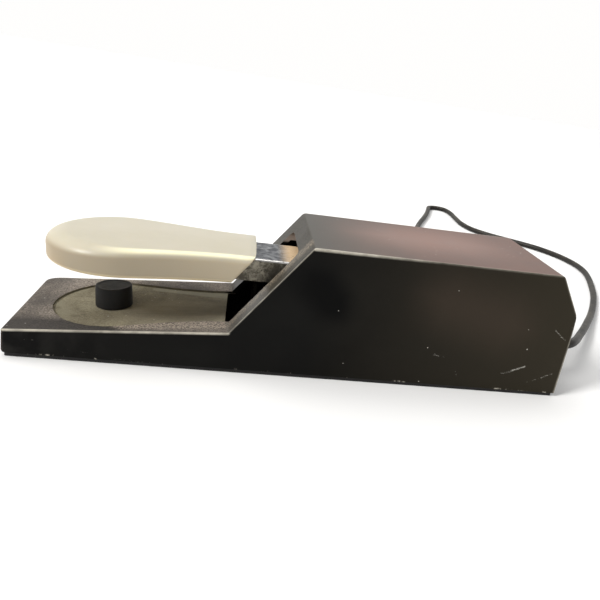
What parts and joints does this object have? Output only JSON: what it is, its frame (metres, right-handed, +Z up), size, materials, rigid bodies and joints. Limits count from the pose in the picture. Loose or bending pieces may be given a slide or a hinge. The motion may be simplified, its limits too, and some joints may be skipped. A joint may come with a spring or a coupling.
{
  "type": "sustain pedal",
  "caption": "Piano-style foot pedal: sprung paddle with a frosted sleeve, wedge-shaped black housing, rubber stop, switch, cord and jack plug.",
  "frame": {"origin": "on the floor under the middle of the pedal, measured without the free cord", "axes": "+X from the toe to the cord end, +Y across to the side where the cord lies, +Z up"},
  "size_m": [0.4044, 0.4687, 0.0624],
  "materials": {
    "housing_paint": "satin black enamel, scuffed and dusty",
    "mat_rubber": "ribbed black rubber",
    "bumper_rubber": "moulded black rubber",
    "plate_steel": "zinc plated",
    "fastener_steel": "zinc plated",
    "spring_steel": "drawn wire",
    "steel_stud": "turned",
    "nylon": "natural nylon",
    "lever_chrome": "bright chrome plate, a little pitted",
    "cover_silicone": "frosted translucent, cream",
    "inner_plastic": "moulded black",
    "plug_plastic": "moulded black",
    "brass": "stamped",
    "felt": "pressed felt",
    "tie_fabric": "woven hook and loop",
    "cord_pvc": "matt black flexible jacket",
    "relief_rubber": "moulded black",
    "jack_metal": "nickel plated"
  },
  "bodies": {
    "housing": {"base_plate": "plate_steel", "base_screw_1": "fastener_steel", "base_screw_2": "fastener_steel", "base_screw_3": "fastener_steel", "base_screw_4": "fastener_steel", "base_screw_5": "fastener_steel", "base_screw_6": "fastener_steel", "bracket_screw_1": "fastener_steel", "bracket_screw_2": "fastener_steel", "bumper": "bumper_rubber", "clamp_screw_1": "fastener_steel", "cord_clamp": "nylon", "cord_coil": "cord_pvc", "cord_inner": "cord_pvc", "cord_run": "cord_pvc", "cord_tail": "cord_pvc", "cord_tie": "tie_fabric", "housing_shell": "housing_paint", "jack_insulator": "inner_plastic", "jack_sleeve": "jack_metal", "jack_tip": "jack_metal", "lead_black": "cord_pvc", "lead_white": "nylon", "pin_clip_far": "spring_steel", "pin_clip_near": "spring_steel", "pivot_bracket": "plate_steel", "pivot_pin": "plate_steel", "plug_body": "plug_plastic", "plug_relief": "relief_rubber", "rest_pad": "felt", "return_spring": "spring_steel", "rubber_mat": "mat_rubber", "spring_seat": "inner_plastic", "stop_bracket": "plate_steel", "stop_screw": "fastener_steel", "strain_relief": "relief_rubber", "switch_body": "inner_plastic", "switch_bracket": "plate_steel", "switch_foot_screw": "fastener_steel", "switch_nut_1": "fastener_steel", "switch_nut_2": "fastener_steel", "switch_screw_1": "fastener_steel", "switch_screw_2": "fastener_steel", "terminal_closed": "brass", "terminal_common": "brass", "terminal_open": "brass"},
    "pedal": {"lever": "lever_chrome", "pedal_cover": "cover_silicone", "bush_near": "nylon", "bush_far": "nylon", "spring_stud": "steel_stud", "striker_screw": "fastener_steel"},
    "plunger": {"switch_plunger": "nylon"}
  },
  "joints": [
    {"name": "pedal_hinge", "type": "hinge", "parent": "housing", "child": "pedal", "pos_m": [0.076, 0, 0.0442], "axis": [0, -1, 0], "range_deg": [0, 4.6], "stiffness_Nm_per_rad": 10, "springref_deg": -8.59, "deforming": ["return_spring"]},
    {"name": "plunger_slide", "type": "slide", "parent": "housing", "child": "plunger", "axis": [0, 0, -1], "range_m": [0, 0.0017]}
  ],
  "couplings": [
    {"joint": "plunger_slide", "follows": "pedal_hinge", "m_per_rad": 0.0202}
  ]
}
